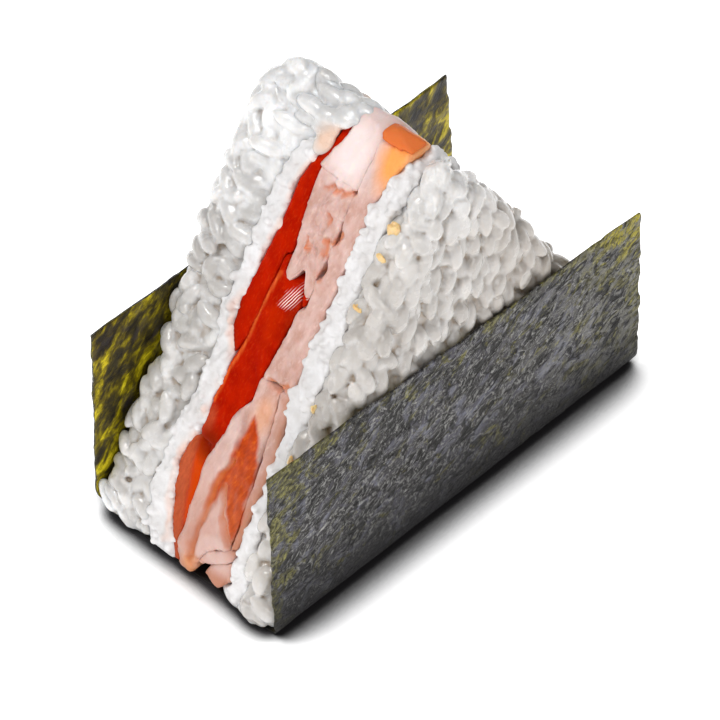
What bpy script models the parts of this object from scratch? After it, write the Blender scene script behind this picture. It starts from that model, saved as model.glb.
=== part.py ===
"""An onigiri sandwich, standing on the long edge of its triangle.

Two upright triangular slabs of cooked rice hold cream cheese, slices of red fish
and pieces of prawn between them, and a sheet of nori is folded round the foot.
X runs along the foot, Y through the layers and Z up. Sizes are in millimetres
until a mesh is made. The origin is at the middle of the flat underside.
"""
import math

import bmesh
import bpy

NAME = "onigiri_sandwich"
MM = 0.001

# The triangle, seen along Y: straight edges blended into one rounded outline.
SLOPE_ANGLE = 58.4
CENTRE_Z = 28.0
SLOPE_DISTANCE = 30.4
FOOT_DISTANCE = 30.0
CORNER_DISTANCE = 48.3
BLEND = 14

# The sandwich, seen along X.
OUTER_Y = 22.3
FOOT_Z = 0.8
RICE_EDGE_RADIUS = 4.0
BACK_APEX_RADIUS = 7.5
FRONT_APEX_RADIUS = 4.0
PIECE_GAP = 0.34
RICE_GAP = 0.5
FILLING_INSET = 0.5
SWAY = 0.4

# Rice grains show as lumps on the slabs.
RICE_SEGMENTS = 92
LUMP_HEIGHT = 0.7
INNER_RINGS = (0.3, 0.5, 0.68, 0.82, 0.92)
OUTER_RINGS = (0.85, 0.68, 0.5, 0.3)
EDGE_STEPS = 4

# The nori sheet, folded up round the foot.
NORI_THICKNESS = 0.45
FOLD_RADIUS = 4.2
NORI_HALF_WIDTH = 23.4
FLAP_TWIST = 0.35
FRONT_FLAP_HEIGHT = 41.6
BACK_FLAP_HEIGHT = 44.2
NORI_LEFT = -46.9
NORI_RIGHT = 47.2
NORI_COLUMNS = 16
FLAP_ROWS = 7
FOLD_ROWS = 4
BASE_ROWS = 2

# Stations along X where a layer's cross-section is repeated, from face to face.
STATIONS = (-0.66, -0.33, 0.0, 0.33, 0.66)

# Faces of the rice slabs, as (height, Y) from foot to top.
BACK_RICE_FACE = (
    (1.0, 9.4), (6.0, 11.2), (13.0, 11.9), (22.0, 11.1), (31.0, 9.8), (39.0, 9.6),
    (47.0, 10.2), (55.0, 9.9), (64.0, 9.8), (70.0, 8.6), (83.0, 2.4),
)
FRONT_RICE_FACE = (
    (1.0, -13.6), (12.0, -13.6), (26.0, -13.3), (35.0, -14.3), (45.0, -14.8),
    (60.0, -15.0), (70.0, -15.2), (83.0, -16.6),
)

# Cross-sections of the layers, as (Y, Z), drawn to the seams between them.
CHEESE_BACK = (
    (3.4, 1.4), (4.2, 6.4), (5.6, 10.7), (7.1, 15.3), (7.5, 19.7), (6.6, 24.0),
    (5.4, 26.0), (5.4, 30.6), (4.7, 39.0), (7.1, 43.0), (7.5, 47.2), (6.1, 55.6),
    (5.4, 60.0), (5.3, 68.2), (3.9, 72.4), (2.8, 75.2),
)
CHEESE_FRONT = (
    (-10.5, 1.4), (-10.8, 5.5), (-10.4, 9.8), (-10.6, 12.2), (-11.0, 22.0),
    (-11.4, 28.5), (-10.3, 36.0), (-9.4, 39.0), (-9.8, 43.0), (-10.0, 51.4),
    (-10.7, 62.0), (-11.0, 70.7), (-12.6, 76.5), (-13.8, 78.6),
)
SALMON_UPPER = (
    (0.0, 82.0), (1.2, 76.5), (3.9, 72.4), (5.3, 68.2), (5.4, 60.0), (6.1, 55.6),
    (7.5, 47.2), (7.1, 43.0), (4.7, 39.0), (3.2, 43.1), (2.8, 47.2), (2.1, 57.3),
    (0.7, 58.0), (1.8, 68.2), (1.9, 72.4), (-0.5, 76.5), (-2.0, 82.0),
)
SALMON_MIDDLE = (
    (2.1, 57.3), (2.8, 47.2), (3.2, 43.1), (4.7, 39.0), (5.4, 30.6), (5.4, 26.0),
    (4.6, 24.9), (2.3, 24.9), (1.5, 22.2), (0.4, 26.4), (-0.5, 30.6), (-2.4, 35.0),
    (-2.6, 38.9), (-3.2, 43.1), (-4.1, 47.2), (-4.9, 51.6), (-3.9, 54.7),
    (1.0, 54.7), (0.7, 58.0),
)
SALMON_LOWER = (
    (4.6, 24.9), (6.6, 24.0), (7.5, 19.7), (7.1, 15.3), (5.6, 10.7), (4.2, 6.4),
    (3.4, 1.8), (1.3, 2.0), (1.9, 7.5), (1.6, 15.3), (1.5, 22.2), (2.3, 24.9),
)
SALMON_SCRAP = ((-3.9, 54.7), (-4.9, 51.6), (-5.6, 51.4), (-6.1, 54.0))
SALMON_TIP = (
    (-6.4, 81.6), (-8.4, 82.6), (-11.0, 82.3), (-14.2, 81.3), (-14.2, 80.8),
    (-8.8, 80.4), (-7.3, 80.6),
)
PRAWN_TOP = (
    (-2.0, 82.0), (-0.5, 76.5), (1.9, 72.4), (-6.7, 72.4), (-7.3, 80.6), (-5.2, 82.0),
)
PRAWN_MIDDLE = (
    (1.9, 72.4), (1.8, 68.2), (0.7, 58.0), (1.0, 54.7), (-3.9, 54.7), (-6.1, 54.0),
    (-6.7, 64.0), (-6.7, 72.4),
)
PRAWN_LONG = (
    (-7.3, 80.6), (-6.7, 72.4), (-6.7, 64.0), (-6.1, 54.0), (-5.6, 51.4),
    (-4.9, 51.6), (-4.1, 47.2), (-3.2, 43.1), (-2.6, 38.9), (-7.2, 39.0),
    (-9.4, 39.0), (-9.8, 43.0), (-10.0, 51.4), (-10.7, 62.0), (-11.0, 70.7),
    (-12.6, 76.5), (-14.2, 80.8), (-8.8, 80.4),
)
PRAWN_LOWER = (
    (-2.6, 38.9), (-2.4, 35.0), (-0.5, 30.6), (0.4, 26.4), (1.5, 22.2), (1.6, 15.3),
    (1.9, 7.5), (1.3, 2.0), (-1.0, 1.6), (-2.8, 5.5), (-4.2, 8.7), (-9.0, 11.5),
    (-9.2, 16.0), (-8.8, 24.0), (-8.3, 32.0), (-7.2, 39.0),
)
PRAWN_EDGE = (
    (-7.2, 39.0), (-8.3, 32.0), (-8.8, 24.0), (-9.2, 16.0), (-9.0, 11.5),
    (-10.6, 12.2), (-11.0, 22.0), (-11.4, 28.5), (-10.3, 36.0), (-9.4, 39.0),
)
PRAWN_BAR = (
    (-4.2, 8.7), (-9.0, 11.5), (-10.6, 12.2), (-10.4, 9.8), (-5.6, 6.4), (-2.8, 5.5),
)
PRAWN_END = ((-5.6, 6.4), (-10.4, 9.8), (-10.8, 5.5), (-8.0, 3.0), (-4.5, 4.2))

# Linear base colour, roughness of each material.
FINISHES = {
    "rice": ((0.83, 0.81, 0.76), 0.35),
    "cream_cheese": ((0.9, 0.89, 0.86), 0.6),
    "salmon": ((0.55, 0.035, 0.006), 0.25),
    "prawn": ((0.8, 0.5, 0.4), 0.4),
    "nori": ((0.028, 0.033, 0.026), 0.55),
}


def interpolate(table, key):
    """Read Y at a height from a face's (height, Y) pairs."""
    if key <= table[0][0]:
        return table[0][1]
    for (low, low_value), (high, high_value) in zip(table, table[1:]):
        if key <= high:
            share = (key - low) / (high - low)
            return low_value + share * (high_value - low_value)
    return table[-1][1]


def outline_edges(inset):
    """Yield each straight edge's outward angle and its distance from the centre."""
    yield math.radians(90.0 - SLOPE_ANGLE), SLOPE_DISTANCE - inset
    yield math.radians(90.0 + SLOPE_ANGLE), SLOPE_DISTANCE - inset
    yield math.radians(-90.0), FOOT_DISTANCE - inset
    yield 0.0, CORNER_DISTANCE - inset
    yield math.pi, CORNER_DISTANCE - inset


def outline_radius(angle, inset=0.0):
    """Distance from the centre to the blended outline, in one direction."""
    total = 0.0
    for edge_angle, distance in outline_edges(inset):
        reach = math.cos(angle - edge_angle) / distance
        total += max(0.0, reach) ** BLEND
    return total ** (-1.0 / BLEND)


def half_length(height, inset=0.0):
    """Half the sandwich's length along X at a height, found by halving."""
    low = 0.0
    high = CORNER_DISTANCE
    for _ in range(30):
        middle = 0.5 * (low + high)
        offset_z = height - CENTRE_Z
        angle = math.atan2(offset_z, middle)
        if math.hypot(middle, offset_z) < outline_radius(angle, inset):
            low = middle
        else:
            high = middle
    return low


def sway(x, z):
    """The layers' gentle bending in Y, the same for all that touch."""
    return SWAY * math.sin(0.05 * x + 0.03 * z)


def make_material(slot):
    """A plain Principled material from the table of finishes."""
    colour, roughness = FINISHES[slot]
    material = bpy.data.materials.new(slot)
    material.use_nodes = True
    shader = material.node_tree.nodes["Principled BSDF"]
    shader.inputs["Base Color"].default_value = (*colour, 1.0)
    shader.inputs["Roughness"].default_value = roughness
    shader.inputs["Metallic"].default_value = 0.0
    return material


def add_object(name, mesh, slot, collection):
    """Link a finished mesh under its node name, with its own material."""
    mesh.name = name
    mesh.materials.clear()
    mesh.materials.append(make_material(slot))
    mesh.shade_smooth()
    mesh.set_sharp_from_angle(angle=math.radians(40.0))
    part = bpy.data.objects.new(name, mesh)
    collection.objects.link(part)
    return part


def face_outward(bm):
    """Turn a closed mesh's faces so that they all point out."""
    bmesh.ops.recalc_face_normals(bm, faces=bm.faces)
    if bm.calc_volume(signed=True) < 0.0:
        bmesh.ops.reverse_faces(bm, faces=bm.faces)


def slab_profile():
    """Rings of a slab from its inner face to its outer one: scale, depth share, inset, set-back.

    The depth share runs from 0 at the inner face to 1 at the outer one. Inset and
    set-back are shares of the outer edge's radius, measured from the rim and from
    the outer face.
    """
    rings = [(scale, 0.0, 0.0, 0.0) for scale in INNER_RINGS]
    rings.append((1.0, 0.0, 0.15, 0.0))
    rings.append((1.0, 0.3, 0.0, 0.0))
    for step in range(EDGE_STEPS):
        turn = 0.5 * math.pi * step / (EDGE_STEPS - 1)
        rings.append((1.0, 1.0, 1.0 - math.cos(turn), 1.0 - math.sin(turn)))
    rings.extend((scale, 1.0, 1.0, 0.0) for scale in OUTER_RINGS)
    return rings


def edge_radius(angle, apex_radius):
    """A slab's outer edge may be rounder at the apex than round the rest of the rim."""
    rise = max(0.0, math.sin(angle)) ** 4
    return RICE_EDGE_RADIUS + rise * (apex_radius - RICE_EDGE_RADIUS)


def rim_lump(angle, depth):
    """Relief of packed grains round a slab's rim."""
    wide = math.sin(13.0 * angle + 0.5 * depth)
    fine = 0.9 * math.sin(21.0 * angle - 0.9 * depth + 1.0)
    return LUMP_HEIGHT * (wide + fine) / 1.9


def side_lump(x, z):
    """Relief of packed grains on a slab's outer side, only ever sunk below its face."""
    wave = math.sin(0.62 * x + 0.3 * z) * math.sin(0.5 * z - 0.25 * x)
    return 0.5 * LUMP_HEIGHT * (wave - 1.0)


def make_rice(name, face, side, apex_radius, collection):
    """A slab of rice, from a sphere whose rings become the slab's rings."""
    rings = slab_profile()
    bands = len(rings) + 1
    bm = bmesh.new()
    bmesh.ops.create_uvsphere(bm, u_segments=RICE_SEGMENTS, v_segments=bands, radius=1.0)
    for vertex in bm.verts:
        band = round(math.acos(max(-1.0, min(1.0, vertex.co.z))) * bands / math.pi)
        angle = math.atan2(vertex.co.y, vertex.co.x)
        if band == 0:
            scale, share, inset, set_back = 0.0, 0.0, 0.0, 0.0
        elif band == bands:
            scale, share, inset, set_back = 0.0, 1.0, 0.0, 0.0
        else:
            scale, share, inset, set_back = rings[band - 1]
        edge = edge_radius(angle, apex_radius)
        rim_inset = inset * edge
        depth = OUTER_Y - set_back * edge
        radius = scale * outline_radius(angle, rim_inset)
        if scale == 1.0:
            radius += rim_lump(angle, depth * share)
        x = radius * math.cos(angle)
        z = max(FOOT_Z + rim_inset, CENTRE_Z + radius * math.sin(angle))
        inner_y = interpolate(face, z) + side * RICE_GAP + sway(x, z)
        outer_y = side * (depth + side_lump(x, z))
        vertex.co = (x * MM, (inner_y + share * (outer_y - inner_y)) * MM, z * MM)
    face_outward(bm)
    mesh = bpy.data.meshes.new(name)
    bm.to_mesh(mesh)
    bm.free()
    return add_object(name, mesh, "rice", collection)


def draw_in(outline, distance):
    """Move an outline's points inward, square to its sides."""
    area = 0.0
    for (y1, z1), (y2, z2) in zip(outline, outline[1:] + outline[:1]):
        area += y1 * z2 - y2 * z1
    turn = 1.0 if area > 0.0 else -1.0
    points = []
    count = len(outline)
    for index, (y, z) in enumerate(outline):
        before = outline[index - 1]
        after = outline[(index + 1) % count]
        normal_y = 0.0
        normal_z = 0.0
        for (y1, z1), (y2, z2) in ((before, (y, z)), ((y, z), after)):
            length = math.hypot(y2 - y1, z2 - z1)
            normal_y -= turn * (z2 - z1) / length
            normal_z += turn * (y2 - y1) / length
        size = math.hypot(normal_y, normal_z)
        reach = distance * min(2.0, 2.0 / size) / size
        points.append((y + reach * normal_y, z + reach * normal_z))
    return points


def section_mesh(name, outline):
    """A flat outline with a thickness, cut across at the stations."""
    curve = bpy.data.curves.new(name, "CURVE")
    curve.dimensions = "2D"
    curve.fill_mode = "BOTH"
    curve.extrude = 1.0
    spline = curve.splines.new("POLY")
    spline.points.add(len(outline) - 1)
    for point, (y, z) in zip(spline.points, outline):
        point.co = (y, z, 0.0, 1.0)
    spline.use_cyclic_u = True
    guide = bpy.data.objects.new(name, curve)
    bpy.context.scene.collection.objects.link(guide)
    evaluated = guide.evaluated_get(bpy.context.evaluated_depsgraph_get())
    mesh = bpy.data.meshes.new_from_object(evaluated)
    bpy.data.objects.remove(guide)
    bpy.data.curves.remove(curve)
    return mesh


def make_layer(name, outline, slot, collection):
    """A layer that runs through the food along X, from one sloped face to the other."""
    mesh = section_mesh(name, draw_in(tuple(outline), 0.5 * PIECE_GAP))
    bm = bmesh.new()
    bm.from_mesh(mesh)
    bmesh.ops.remove_doubles(bm, verts=bm.verts, dist=0.0001)
    for station in STATIONS:
        geometry = bm.verts[:] + bm.edges[:] + bm.faces[:]
        bmesh.ops.bisect_plane(bm, geom=geometry, plane_co=(0, 0, station), plane_no=(0, 0, 1))
    for vertex in bm.verts:
        y, z, along = vertex.co
        x = along * half_length(z, FILLING_INSET)
        vertex.co = (x * MM, (y + sway(x, z)) * MM, z * MM)
    face_outward(bm)
    bm.to_mesh(mesh)
    bm.free()
    return add_object(name, mesh, slot, collection)


def cheese_outline(seam, face):
    """Cheese fills from the filling's seam to the rice slab's face."""
    top = seam[-1][1]
    outer = [(y, z) for z, y in face if z < top - 2.0]
    outer.append((interpolate(face, top - 1.0), top - 1.0))
    foot_y, _ = outer[0]
    outer[0] = (foot_y, seam[0][1])
    return tuple(seam) + tuple(reversed(outer))


def nori_path():
    """The folded sheet's outer line in Y and Z, from the front flap's top to the back's.

    Each step gives Y, Z and the share of its flap's height, which is 0 on the base.
    """
    straight = NORI_HALF_WIDTH - FOLD_RADIUS
    path = []
    for row in range(FLAP_ROWS, 0, -1):
        share = row / FLAP_ROWS
        height = FOLD_RADIUS + share * (FRONT_FLAP_HEIGHT - FOLD_RADIUS)
        path.append((-NORI_HALF_WIDTH, height, share))
    for row in range(FOLD_ROWS + 1):
        turn = 0.5 * math.pi * row / FOLD_ROWS
        y = -straight - FOLD_RADIUS * math.cos(turn)
        path.append((y, FOLD_RADIUS * (1.0 - math.sin(turn)), 0.0))
    for row in range(1, BASE_ROWS):
        path.append((straight * (2.0 * row / BASE_ROWS - 1.0), 0.0, 0.0))
    for row in range(FOLD_ROWS, -1, -1):
        turn = 0.5 * math.pi * row / FOLD_ROWS
        y = straight + FOLD_RADIUS * math.cos(turn)
        path.append((y, FOLD_RADIUS * (1.0 - math.sin(turn)), 0.0))
    for row in range(1, FLAP_ROWS + 1):
        share = row / FLAP_ROWS
        height = FOLD_RADIUS + share * (BACK_FLAP_HEIGHT - FOLD_RADIUS)
        path.append((NORI_HALF_WIDTH, height, share))
    return path


def nori_point(y, z, share, along):
    """Place one point of the sheet: its ends taper, its flaps twist and their tops waver."""
    back = y > 0.0
    taper = 2.3 * share if back else 0.6 * share
    right_taper = 2.9 * share if back else 1.3 * share
    left = NORI_LEFT + taper
    right = NORI_RIGHT - right_taper
    x = left + (right - left) * along
    middle = 2.0 * along - 1.0
    side = 1.0 if back else -1.0
    y += side * share * (FLAP_TWIST * middle + 0.15 * math.sin(9.0 * along + side))
    rise = 1.2 * middle if back else -0.7 * middle
    z += share ** 3 * (rise + 0.35 * math.sin(14.0 * along + 2.0 * side))
    return x, y, z


def make_nori(collection):
    """The nori: a grid folded up along its length, then given its thickness."""
    path = nori_path()
    rows = len(path) - 1
    bm = bmesh.new()
    bmesh.ops.create_grid(bm, x_segments=NORI_COLUMNS, y_segments=rows, size=1.0)
    for vertex in bm.verts:
        along = 0.5 * (vertex.co.x + 1.0)
        y, z, share = path[round(0.5 * (vertex.co.y + 1.0) * rows)]
        vertex.co = [MM * value for value in nori_point(y, z, share, along)]
    mesh = bpy.data.meshes.new("nori_sheet")
    bm.to_mesh(mesh)
    bm.free()
    sheet = add_object("nori_sheet", mesh, "nori", collection)
    thicken = sheet.modifiers.new("thickness", "SOLIDIFY")
    thicken.thickness = NORI_THICKNESS * MM
    thicken.offset = 1.0
    thicken.use_even_offset = True
    return sheet


def main():
    for old in list(bpy.data.objects):
        bpy.data.objects.remove(old)
    collection = bpy.data.collections.new(NAME)
    bpy.context.scene.collection.children.link(collection)

    make_rice("rice_back", BACK_RICE_FACE, 1.0, BACK_APEX_RADIUS, collection)
    make_rice("rice_front", FRONT_RICE_FACE, -1.0, FRONT_APEX_RADIUS, collection)
    layers = (
        ("cheese_back", cheese_outline(CHEESE_BACK, BACK_RICE_FACE), "cream_cheese"),
        ("cheese_front", cheese_outline(CHEESE_FRONT, FRONT_RICE_FACE), "cream_cheese"),
        ("salmon_upper", SALMON_UPPER, "salmon"),
        ("salmon_middle", SALMON_MIDDLE, "salmon"),
        ("salmon_lower", SALMON_LOWER, "salmon"),
        ("salmon_scrap", SALMON_SCRAP, "salmon"),
        ("salmon_tip", SALMON_TIP, "salmon"),
        ("prawn_top", PRAWN_TOP, "prawn"),
        ("prawn_middle", PRAWN_MIDDLE, "prawn"),
        ("prawn_long", PRAWN_LONG, "prawn"),
        ("prawn_lower", PRAWN_LOWER, "prawn"),
        ("prawn_edge", PRAWN_EDGE, "prawn"),
        ("prawn_bar", PRAWN_BAR, "prawn"),
        ("prawn_end", PRAWN_END, "prawn"),
    )
    for name, outline, slot in layers:
        make_layer(name, outline, slot, collection)
    make_nori(collection)


main()
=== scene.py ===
"""Looks of an onigiri sandwich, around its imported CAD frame.

Lengths in this file are millimetres until they reach a mesh, a light or the camera.
X runs along the foot of the triangle, Y through the layers and Z up.
"""

import math
from typing import NamedTuple

import bmesh
import bpy
import numpy as np
from mathutils import Matrix, Vector
from mathutils.bvhtree import BVHTree
from mathutils.kdtree import KDTree


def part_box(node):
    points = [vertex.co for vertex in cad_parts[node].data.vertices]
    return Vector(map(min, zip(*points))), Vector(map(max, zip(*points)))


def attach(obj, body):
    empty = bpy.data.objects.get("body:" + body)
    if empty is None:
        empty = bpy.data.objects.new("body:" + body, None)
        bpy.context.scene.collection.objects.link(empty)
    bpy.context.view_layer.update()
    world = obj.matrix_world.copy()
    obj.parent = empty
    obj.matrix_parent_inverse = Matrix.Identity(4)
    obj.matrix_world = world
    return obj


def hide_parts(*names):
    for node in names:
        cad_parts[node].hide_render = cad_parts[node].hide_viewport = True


MM = 0.001
SEED = 11

# Cooked grains of rice, in layers of (how deep their middles lie, how far apart they are).
GRAIN_LENGTH = 6.6
GRAIN_WIDTH = 3.3
GRAIN_THICKNESS = 2.9
GRAIN_STRETCH = 1.75  # how much farther apart they lie end to end than side by side
GRAIN_SPINE = 2.3  # how far its own tone reaches along a grain from its middle
GRAIN_TRIES = 7000
STEEP_TILT = 0.14
RICE_LAYERS = ((1.5, 2.2), (0.6, 2.5))
RICE_CORE_INSET = 1.1
RICE_VOXEL = 0.28
RICE_TRIANGLES = 160000


class Slab(NamedTuple):
    """How one slab of rice is laid, run together and shaded."""
    side: float  # 1 behind the fillings, -1 in front of them
    steep: bool  # whether its grains point mostly down it
    stand_out: float  # how far grains may stand out of it
    melt_rounds: int  # how smooth its grains are where they run together
    melt_from: float  # the height from which they do
    melt_least: float  # the share run together below that height
    shade_top: float  # the height from which it is shaded downwards
    shade_most: float  # the share of shade well below that height
    shade_right: float  # how much more of it there is to the right


RICE_BACK = Slab(
    side=1.0, steep=False, stand_out=1.9, melt_rounds=8, melt_from=54.0, melt_least=0.0,
    shade_top=74.0, shade_most=0.5, shade_right=0.0,
)
RICE_FRONT = Slab(
    side=-1.0, steep=True, stand_out=1.0, melt_rounds=5, melt_from=62.0, melt_least=0.25,
    shade_top=88.0, shade_most=1.0, shade_right=0.7,
)

# Grains are pressed harder above this height, by this much a mm, and less towards the cheese.
PRESS_FROM = 60.0
PRESS_RATE = 0.04
ROOM_AT_CHEESE = 1.6
TIP_SAG = 2.6

# The parts of a slab that the foot and the flaps of the nori hide.
FOOT_COVERED = 38.0
FLAP_COVERED = 33.0

# Mesh fineness of the other layers, and how far each grows to meet its neighbours.
CHEESE_VOXEL = 0.3
CHEESE_TRIANGLES = 100000
CHEESE_CRUMBS = 900
FISH_VOXEL = 0.4
PRAWN_VOXEL = 0.36
LAYER_TRIANGLES = 30000
CHEESE_GROWTH = 0.6
FISH_GROWTH = 0.2
PRAWN_GROWTH = 0.45
PRAWN_TOP_GROWTH = 0.95

# The sloped faces, where the layers show.
SLOPE_ANGLE = 58.4
SLOPE_DISTANCE = 30.4
SLOPE_CENTRE_Z = 28.0
EXPOSED_DEPTH = 5.0

# How far the food stays inside the nori's box and above its foot.
NORI_ROOM = 1.15
FOOT_LIFT = 0.6

# Lines and outlines on the layers' cross-section, as (Y, Z).
WAVER_SEED = 60
FISH_BACK_LINE = [
    (0.0, 81.0), (1.2, 76.5), (3.9, 72.5), (5.3, 68.0), (5.4, 60.0), (6.1, 55.5), (7.5, 47.0),
    (7.1, 43.0), (4.7, 39.0), (5.4, 30.5), (5.4, 26.0), (6.6, 24.0), (7.5, 19.5), (7.1, 15.5), (4.2, 6.5),
]
FISH_LIT_LINE = [(1.5, 55.0), (2.6, 49.0), (3.0, 42.0), (4.2, 37.0), (4.8, 31.5)]
FISH_GLINT = [
    (-0.7, 50.6), (-1.2, 52.6), (-2.1, 53.6), (-3.3, 54.5), (-4.1, 53.0), (-3.4, 51.4), (-2.4, 50.6),
]
FISH_CURL_LINE = [(7.4, 47.0), (6.8, 43.0), (5.0, 40.0)]
FISH_SPLIT_LINE = [(4.6, 24.0), (4.3, 21.0), (3.7, 18.0), (3.0, 14.0), (1.4, 8.5)]
FISH_PINK_SIDE = [(4.4, 25.5), *FISH_SPLIT_LINE[1:], (1.4, 0.0), (9.0, 0.0), (9.0, 24.0)]
FISH_ORANGE_SIDE = [(4.4, 25.5), *FISH_SPLIT_LINE[1:], (0.8, 8.5), (0.8, 23.0)]
PRAWN_CREASES = [
    [(-0.8, 70.0), (-2.4, 71.0), (-4.4, 70.6), (-6.6, 71.5)],
    [(-3.4, 66.6), (-4.1, 65.8)],
    [(-4.6, 63.8), (-5.3, 62.5), (-5.4, 60.8)],
    [(-7.0, 65.4), (-6.3, 63.5)],
    [(-0.8, 61.7), (-1.9, 60.6)],
    [(-6.0, 57.6), (-6.6, 59.2)],
    [(-4.8, 39.3), (-6.5, 38.8), (-8.7, 40.1)],
    [(-3.9, 25.2), (-2.6, 22.6), (-2.3, 19.5), (-2.2, 15.5), (-1.2, 5.8)],
    [(-4.1, 20.5), (-5.6, 16.5), (-9.1, 12.5)],
]
PRAWN_SLAB_BACK = [
    (1.5, 24.0), (-0.5, 31.0), (-2.2, 34.0), (-3.5, 30.0), (-3.8, 25.5), (-2.7, 22.5), (-2.4, 15.5),
    (-1.2, 5.8), (-3.4, 4.3), (-1.0, 1.0), (2.0, 1.0), (2.5, 15.0),
]
PRAWN_SLAB_FRONT = [(-4.1, 20.5), (-2.6, 14.0), (-1.4, 6.0), (-5.6, 9.0), (-9.1, 12.0), (-6.4, 16.5)]
PRAWN_ORANGE_SIDE = [
    (-4.4, 33.0), (-3.7, 28.0), (-3.4, 24.5), (-2.1, 22.0), (-1.9, 16.0), (-3.0, 17.5), (-4.1, 21.0),
    (-6.9, 16.5), (-9.3, 13.0), (-10.2, 17.0), (-9.0, 21.5), (-8.3, 27.0), (-7.0, 31.0),
]
PRAWN_BROWN_LINE = [(-9.8, 40.0), (-10.9, 34.0), (-11.5, 28.0), (-11.0, 22.0), (-10.6, 13.0)]

# Bits of prawn on the left sloped face, as (Y, Z, width, height).
BIT_LIFT = 0.25
BITS = [
    (-17.0, 71.0, 2.8, 3.1), (-16.6, 66.3, 2.2, 1.6), (-15.9, 57.6, 2.0, 1.8),
    (-15.6, 40.5, 0.9, 2.0), (-15.2, 31.5, 0.8, 2.2),
]

# Grains laid one by one, as (X, Y, Z) and the way they point.
EXTRA_GRAIN_VOXEL = 0.26
EXTRA_GRAIN_MELT = 0.75
TOP_GRAINS = [
    ((-4.2, 7.8, 80.3), (0.2, -1.0, -0.1)), ((-4.1, 4.6, 79.8), (0.1, -1.0, 0.1)),
    ((-3.4, 2.2, 80.4), (0.3, -1.0, 0.0)), ((-1.0, 6.4, 81.6), (0.1, -1.0, -0.1)),
    ((0.2, 3.2, 81.0), (0.1, -1.0, 0.0)), ((2.0, 5.2, 80.3), (0.4, -1.0, 0.0)),
    ((2.4, 1.0, 79.6), (0.2, -1.0, 0.0)), ((2.6, -1.8, 79.3), (-0.1, -1.0, 0.0)),
    ((3.7, 4.6, 78.0), (0.6, -1.0, -0.1)), ((0.6, 9.8, 82.2), (0.3, -1.0, 0.1)),
    ((-3.9, 6.8, 77.8), (0.1, -1.0, 0.15)), ((-3.2, 4.4, 77.6), (0.2, -1.0, 0.3)),
    ((-4.6, 8.6, 77.2), (0.2, -1.0, 0.2)), ((-2.2, 3.6, 79.2), (0.2, -1.0, 0.1)),
    ((-3.4, 9.4, 79.4), (0.2, -1.0, 0.1)), ((-2.3, 1.0, 80.9), (0.2, -1.0, 0.15)),
    ((1.6, -0.4, 81.0), (0.1, -1.0, 0.0)), ((-4.9, 3.8, 77.9), (0.15, -1.0, 0.25)),
    ((-0.4, -0.4, 81.3), (0.5, -1.0, 0.1)), ((-6.0, 3.0, 76.4), (-0.52, 0.25, -0.85)),
]
CORNER_GRAINS = [
    ((-46.2, 20.4, 5.0), (0.0, -0.8, -0.58)), ((-45.4, 18.2, 2.6), (0.1, -1.0, 0.1)),
    ((-45.3, -18.6, 3.4), (0.0, 0.5, -0.8)), ((-45.6, -15.6, 2.4), (0.0, 1.0, -0.2)),
    ((-45.2, 14.6, 2.2), (0.0, 1.0, 0.1)), ((-45.2, -11.4, 2.4), (0.0, 1.0, 0.3)),
]

# How far the middle prawn's lower end is pulled up the slope, as (Y, distance).
SHRED_PROFILE = [
    (-6.5, 0.6), (-5.4, -1.6), (-4.2, -0.6), (-3.2, 2.6), (-2.4, 3.0), (-1.4, 0.2), (-0.4, -1.6),
    (1.4, 0.4),
]

# The nori sheet. Its flaps lean in by their tops, at the left and right, and rise to the right.
NORI_THICKNESS = 0.32
NORI_STEP = 0.62
NORI_LEFT = -46.9
NORI_RIGHT = 47.2
FOLD_RADIUS = 4.2
FRONT_FLAP_HEIGHT = 41.6
BACK_FLAP_HEIGHT = 44.2
FRONT_FLAP_LEAN = (0.6, 1.3)
BACK_FLAP_LEAN = (2.3, 2.9)
FRONT_FLAP_RISE = -0.7
BACK_FLAP_RISE = 1.2
FLAP_TWIST = 0.35
FLAP_WAVE = 0.15

# The floor glows with painted light like a lit table, except close to the food, where its colour also darkens
# into a painted contact shadow.
FLOOR_GLOW = 0.75
FLOOR_SHADE_REACH = 12.0

# The square lights, as (name, place, width, power), and the even light from all round.
LIGHT_AIM = (0.0, 0.0, 35.0)
LIGHTS = [
    ("key", (-560.0, 200.0, 1380.0), 500.0, 11.6),
    ("spark", (-760.0, -260.0, 1250.0), 70.0, 1.8),
    ("fill", (-700.0, -1200.0, 750.0), 700.0, 6.0),
]
WORLD_STRENGTH = 0.3

# The camera, fitted to the nori's corners.
CAMERA_TARGET = (-4.31, -2.28, 25.0)
CAMERA_AZIMUTH = -43.66
CAMERA_ELEVATION = 46.17
CAMERA_ROLL = -1.75
CAMERA_DISTANCE = 700.0
CAMERA_SENSOR = 36.0
CAMERA_LENS = 195.6


# ---------------------------------------------------------------- mesh helpers

def fade(values, start, end):
    """0 before start and 1 beyond end, changing evenly between them; end may be the lower."""
    return np.clip((values - start) / (end - start), 0.0, 1.0)


def hash_lattice(cell, seed):
    """A repeatable random value from -1 to 1 at each whole-numbered lattice point."""
    key = cell[..., 0] * 73856093 ^ cell[..., 1] * 19349663 ^ cell[..., 2] * 83492791
    key = (key ^ (seed * 2654435761)) & 0xFFFFFFFF
    key = ((key ^ (key >> 15)) * 2246822519) & 0xFFFFFFFF
    key = ((key ^ (key >> 13)) * 3266489917) & 0xFFFFFFFF
    key = key ^ (key >> 16)
    return key / 2147483648.0 - 1.0


def noise(points, size, seed):
    """Smooth noise from -1 to 1 at points in mm; size is a lump's width, or one for each axis."""
    grid = points / np.asarray(size, float)
    cell = np.floor(grid).astype(np.int64)
    share = grid - cell
    share = share * share * (3.0 - 2.0 * share)
    total = np.zeros(len(points))
    for corner in np.ndindex(2, 2, 2):
        step = np.array(corner)
        weight = np.prod(np.where(step, share, 1.0 - share), axis=1)
        total += weight * hash_lattice(cell + step, seed)
    return total


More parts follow.
